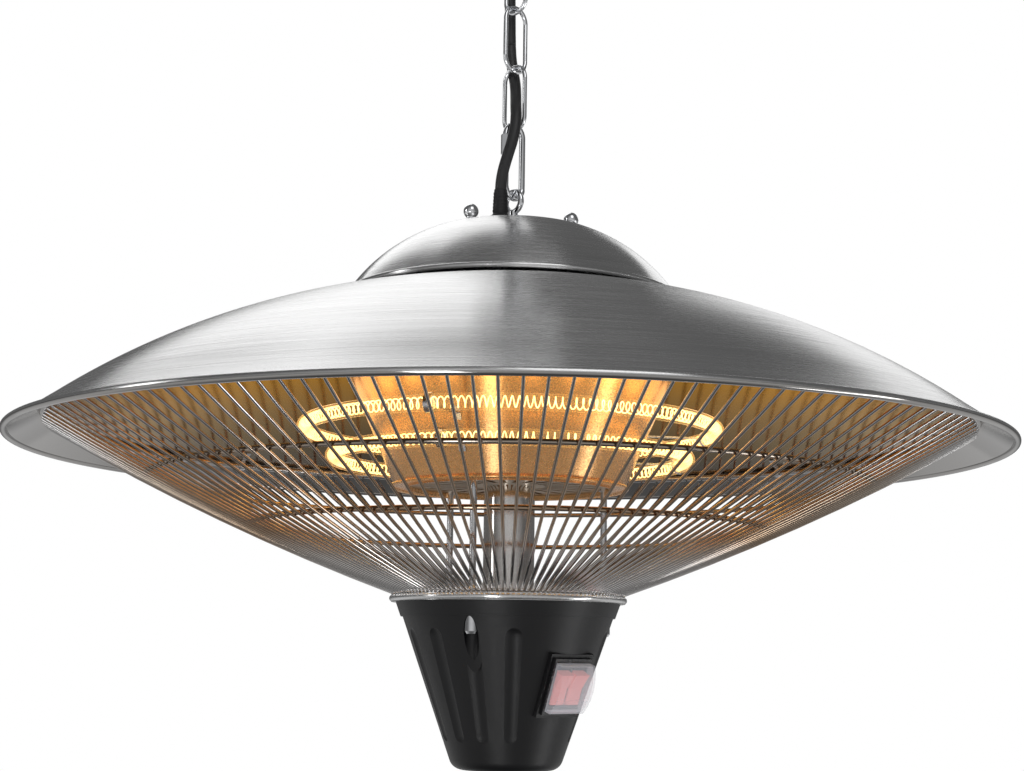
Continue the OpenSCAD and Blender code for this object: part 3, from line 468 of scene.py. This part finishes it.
def pierce(obj, holes):
    """Round holes straight down through the sheet: x, y and radius in millimetres."""
    for x, y, r in holes:
        place = (x * MM, y * MM, RIM_Z)
        bpy.ops.mesh.primitive_cylinder_add(vertices=40, radius=r * MM, depth=0.4, location=place)
        cutter = bpy.context.object
        cut = obj.modifiers.new("hole", "BOOLEAN")
        cut.operation = "DIFFERENCE"
        cut.solver = "EXACT"
        cut.object = cutter
        bpy.context.view_layer.objects.active = obj
        bpy.ops.object.modifier_apply(modifier=cut.name)
        bpy.data.objects.remove(cutter)


def make_hat(steel, lining):
    """The hat and the cap, with the profiles of their solids, in millimetres above the rim."""
    hat_r, hat_h, flat_r, curve_r = HAT_R / MM, 91.6, 60.0, 425.0
    cap_r, cap_h, cap_gap, crown_r, side_r = 104.5, 53.6, 2.4, 178.0, 104.0
    skin_t, hat_bead, cap_bead, middle_r = 1.2, 2.2, 1.7, 3.1
    crease = Vector((hat_r - 24.3, 17.2))
    c = arc_centre(Vector((cap_r, hat_h)), crease, curve_r)
    flat_z = c.y + math.sqrt(curve_r ** 2 - (flat_r - c.x) ** 2)
    skin = [Vector((middle_r, flat_z))] + arc_path((flat_r, flat_z), crease, curve_r, 64)
    skin += [Vector((hat_r - 5.6, 4.2)), Vector((hat_r - hat_bead, hat_bead))]
    hat = rolled_sheet("hat_sheet", skin, skin_t, hat_bead)
    stud_circle, stud_hole = 37.0, 2.1
    studs = [(stud_circle * math.cos(math.radians(a)), stud_circle * math.sin(math.radians(a)), stud_hole)
             for a in (-134, -14, 106)]
    cable_hole, cord_hole = (9.6, 0.0, 3.1), (-8.0, -10.0, 5.6)
    pierce(hat, studs + [cable_hole])
    shoulder_r = 51.0
    cap_side = Vector((shoulder_r, cap_h - crown_r + math.sqrt(crown_r ** 2 - shoulder_r ** 2)))
    edge = Vector((cap_r - cap_bead, cap_gap + cap_bead))
    skin = arc_path((middle_r, cap_h), cap_side, crown_r, 30) + arc_path(cap_side, edge, side_r, 40)[1:]
    cap = rolled_sheet("cap_sheet", [q + Vector((0, hat_h)) for q in skin], skin_t, cap_bead)
    pierce(cap, studs + [cord_hole])
    for obj, node, look in ((hat, "hat", lining), (cap, "cap", steel)):
        obj.data.materials.clear()
        obj.data.materials.append(look)
        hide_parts(node)
        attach(obj, "heater")


# Mains cord: two stretches that meet beside the chain
CORD = [(-8, -10, -184), (-7.6, -10.7, -178), (-6.3, -11.8, -171), (-3.8, -12.7, -162),
        (-1.2, -12.8, -153), (0.5, -12, -144), (1, -9.7, -136), (0.8, -6.3, -129), (0.7, -1.9, -122),
        (0.5, 2.7, -115), (-0.1, 6.9, -108), (-1.4, 10.1, -100), (-2.6, 11.8, -91), (-3.2, 12.5, -82),
        (-3.4, 12.7, -74), (-3.6, 12.9, -62), (-3.9, 13.3, -48), (-4.5, 14.6, -34), (-4.9, 15.8, -22),
        (-5, 16, -10), (-5, 16, -1)]
CORD_MEETING = 13
CORD_D = 7.1


def make_cords(rubber):
    whole = [Vector(p) * MM for p in CORD]
    stretches = (
        ("mains_cord_lower", whole[: CORD_MEETING + 1], "cord_lower", "chain", "heater"),
        ("mains_cord_upper", whole[CORD_MEETING:], "cord_upper", "ceiling", "chain"),
    )
    for name, points, node, a, b in stretches:
        path = smooth_path(points, 6)
        obj = tube_mesh(name, path, CORD_D * MM / 2, 24, ends=(0.0, 0.0, 1.0))
        obj.data.materials.append(rubber)
        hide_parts(node)
        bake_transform(obj)


# The collar's crown: a tooth between each two wires' ends
def make_teeth(metal):
    verts, faces = [], []
    count, half, low, high = 144, 0.5, -85.8, -83.7
    inner_r, outer_r, top_lean = 65.2, 70.3, -0.5
    for i in range(count):
        a = 2 * math.pi * i / count
        u, v = Vector((math.cos(a), math.sin(a), 0)), Vector((-math.sin(a), math.cos(a), 0))
        base = len(verts)
        for z, lean in ((low, 0.0), (high, top_lean)):
            for r, side in ((inner_r, -1), (outer_r, -1), (outer_r, 1), (inner_r, 1)):
                p = (r + lean) * u + side * half * v
                verts.append((p.x * MM, p.y * MM, z * MM + RIM_Z))
        for f in ((3, 2, 1, 0), (4, 5, 6, 7), (0, 1, 5, 4), (1, 2, 6, 5), (2, 3, 7, 6), (3, 0, 4, 7)):
            faces.append(tuple(base + k for k in f))
    mesh = bpy.data.meshes.new("collar_teeth")
    mesh.from_pydata(verts, [], faces)
    mesh.materials.append(metal)
    obj = bpy.data.objects.new("collar_teeth", mesh)
    scene.collection.objects.link(obj)
    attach(obj, "heater")


# Heating coils: the fine zigzag of the real winding
def make_coils(hot):
    coil_r, steps, half_gap, wire_r = 3.15, 12, math.radians(9.0), 0.36
    rim = Vector((0, 0, RIM_Z))
    for name, node, ring_r, ring_z, turns in (
        ("upper_winding", "upper_coil", 125.5, 14.5, 190),
        ("lower_winding", "lower_coil", 107.8, -2.6, 162),
    ):
        top = (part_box(node)[1][2] - RIM_Z) / MM - ring_z
        points = []
        total = turns * steps
        for i in range(total + 1):
            a = math.pi / 2 + half_gap + (2 * math.pi - 2 * half_gap) * i / total
            w = 2 * math.pi * i / steps
            r = ring_r + coil_r * math.cos(w)
            points.append(Vector((r * math.cos(a), r * math.sin(a), ring_z + coil_r * math.sin(w))) * MM + rim)

        def lead(side):
            """The coil's end, from the lead pin down its leg to the ring."""
            a = math.pi / 2 + side * half_gap
            out = []
            for y, z in ((9.0, top), (9.0, 12.0), (8.0, 5.0), (4.5, 1.2)):
                out.append(Vector((ring_r * math.cos(a) + side * y * math.sin(a),
                                   ring_r * math.sin(a) - side * y * math.cos(a), ring_z + z)) * MM + rim)
            return out

        path = lead(1) + points + list(reversed(lead(-1)))
        obj = tube_mesh(name, path, wire_r * MM, 6)
        obj.data.materials.append(hot)
        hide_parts(node)
        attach(obj, "heater")


# Studio: white for the camera, darker for what the metal mirrors, with grey below the horizon
def make_world():
    world = bpy.data.worlds.new("studio")
    scene.world = world
    world.use_nodes = True
    tree = world.node_tree
    tree.nodes.clear()

    def add(kind, **props):
        node = tree.nodes.new("ShaderNode" + kind)
        for key, value in props.items():
            setattr(node, key, value)
        return node

    coord = add("TexCoord")
    split = add("SeparateXYZ")
    tree.links.new(coord.outputs["Generated"], split.inputs[0])
    depth = add("MapRange")
    depth.inputs["From Min"].default_value = -1.0
    tree.links.new(split.outputs[1], depth.inputs["Value"])
    ramp = add("ValToRGB")
    stops = [(0.0, 0.5), (0.1, 0.34), (0.3, 0.12), (0.55, 0.12), (0.8, 0.13), (1.0, 0.13)]
    elements = ramp.color_ramp.elements
    while len(elements) < len(stops):
        elements.new(0.5)
    for element, (position, grey) in zip(elements, stops):
        element.position = position
        element.color = (grey, grey, grey, 1.0)
    tree.links.new(depth.outputs[0], ramp.inputs["Fac"])
    height = add("MapRange")
    height.inputs["From Min"].default_value = -0.02
    height.inputs["From Max"].default_value = -0.16
    tree.links.new(split.outputs[2], height.inputs["Value"])
    lower = add("Mix", data_type="RGBA")
    tree.links.new(height.outputs[0], lower.inputs[0])
    tree.links.new(ramp.outputs["Color"], lower.inputs[6])
    lower.inputs[7].default_value = (0.5, 0.5, 0.5, 1.0)
    soft = add("Background")
    tree.links.new(lower.outputs[2], soft.inputs["Color"])
    soft.inputs["Strength"].default_value = 1.0
    white = add("Background")
    white.inputs["Color"].default_value = (1, 1, 1, 1)
    path = add("LightPath")
    mix = add("MixShader")
    tree.links.new(path.outputs["Is Camera Ray"], mix.inputs[0])
    tree.links.new(soft.outputs[0], mix.inputs[1])
    tree.links.new(white.outputs[0], mix.inputs[2])
    out = add("OutputWorld")
    tree.links.new(mix.outputs[0], out.inputs[0])


def make_lamp(name, kind, place, power, colour=(1, 1, 1), size=(0.5, 0.5)):
    """A lamp that faces the hat. size is an area lamp's two sides or a point lamp's radius."""
    data = bpy.data.lights.new(name, kind)
    data.energy = power
    data.color = colour
    if kind == "AREA":
        data.shape = "RECTANGLE"
        data.size, data.size_y = size
    else:
        data.shadow_soft_size = size
    obj = bpy.data.objects.new(name, data)
    scene.collection.objects.link(obj)
    obj.location = place
    direction = Vector(HAT_MIDDLE) - Vector(place)
    obj.rotation_euler = direction.to_track_quat("-Z", "Y").to_euler()
    return obj


def toward(turn, rise, distance):
    """A place seen from the hat: turn from straight behind it to the right, rise above it, in degrees."""
    t, e = math.radians(turn), math.radians(rise)
    return (distance * math.sin(t) * math.cos(e), distance * math.cos(t) * math.cos(e),
            HAT_MIDDLE[2] + distance * math.sin(e))


def make_lights():
    make_lamp("left_softbox", "AREA", toward(-21, 47, 1.9), 5.8, size=(1.0, 1.3))
    make_lamp("right_softbox", "AREA", toward(27, 27, 2.0), 1.9, size=(0.9, 0.62))
    make_lamp("front_softbox", "AREA", toward(160, 44, 1.9), 5.0, size=(1.0, 1.2))
    make_lamp("left_strip", "AREA", (-1.9, -0.4, 0.1), 3.0, size=(0.3, 0.9))
    make_lamp("front_strip", "AREA", (-0.45, -1.6, -1.3), 6.0, size=(0.3, 1.3))
    make_lamp("right_front_strip", "AREA", (1.65, -0.26, -1.3), 6.0, size=(0.3, 1.3))
    for i in range(GLOW_LAMPS):
        a = 2 * math.pi * (i + 0.5) / GLOW_LAMPS
        place = (GLOW_R * math.cos(a), GLOW_R * math.sin(a), RIM_Z + 0.03)
        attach(make_lamp("element_glow_%d" % i, "POINT", place, 0.008, (1.0, 0.66, 0.34), 0.012), "heater")


def make_floor():
    """White to the camera, a touch greyer near the middle. What the metal mirrors is dark in the middle, a painted
    shade, and paler outwards. It takes a little shadow.
    """
    mesh = bpy.data.meshes.new("floor")
    s = FLOOR_HALF
    mesh.from_pydata([(x, y, FLOOR_Z) for x, y in ((-s, -s), (s, -s), (s, s), (-s, s))], [], [(0, 1, 2, 3)])
    floor = bpy.data.objects.new("floor", mesh)
    scene.collection.objects.link(floor)
    n = Nodes("pale_floor")
    n.set(Base_Color=(0.85, 0.85, 0.85, 1.0), Roughness=0.8)
    out = n.math("DIVIDE", n.radius(n.place()), FLOOR_HALF)
    # Painted shade: the floor as the metal mirrors it is dark in the middle and paler outwards.
    mirrored_painted_shade = n.add("Emission", {"Color": n.grey_ramp(out, [(0.14, 0.1), (0.5, 0.62)])}).outputs[0]
    ray = n.add("LightPath").outputs["Is Glossy Ray"]
    lit = n.add("Emission", {"Color": n.grey_ramp(out, [(0.1, 0.95), (0.6, 1.0)])}).outputs[0]
    share = n.grey_ramp(out, [(0.1, 0.85), (0.6, 1.0)])
    seen = n.math("MULTIPLY", n.add("LightPath").outputs["Is Camera Ray"], share)
    plain = n.add("MixShader", {0: seen, 1: n.shader.outputs[0], 2: lit}).outputs[0]
    shown = n.add("MixShader", {0: ray, 1: plain, 2: mirrored_painted_shade}).outputs[0]
    n.tree.links.new(shown, n.tree.nodes["Material Output"].inputs["Surface"])
    mesh.materials.append(n.material)


rubber = moulded("cord_rubber", (0.03, 0.03, 0.031), 0.45, 1200.0, 0.2)
make_cords(rubber.material)
finish_nodes()
make_coils(glowing_wire().material)
make_teeth(plain_metal("crown_steel", (0.8, 0.8, 0.82), 0.22).material)
make_world()
make_lights()
make_floor()
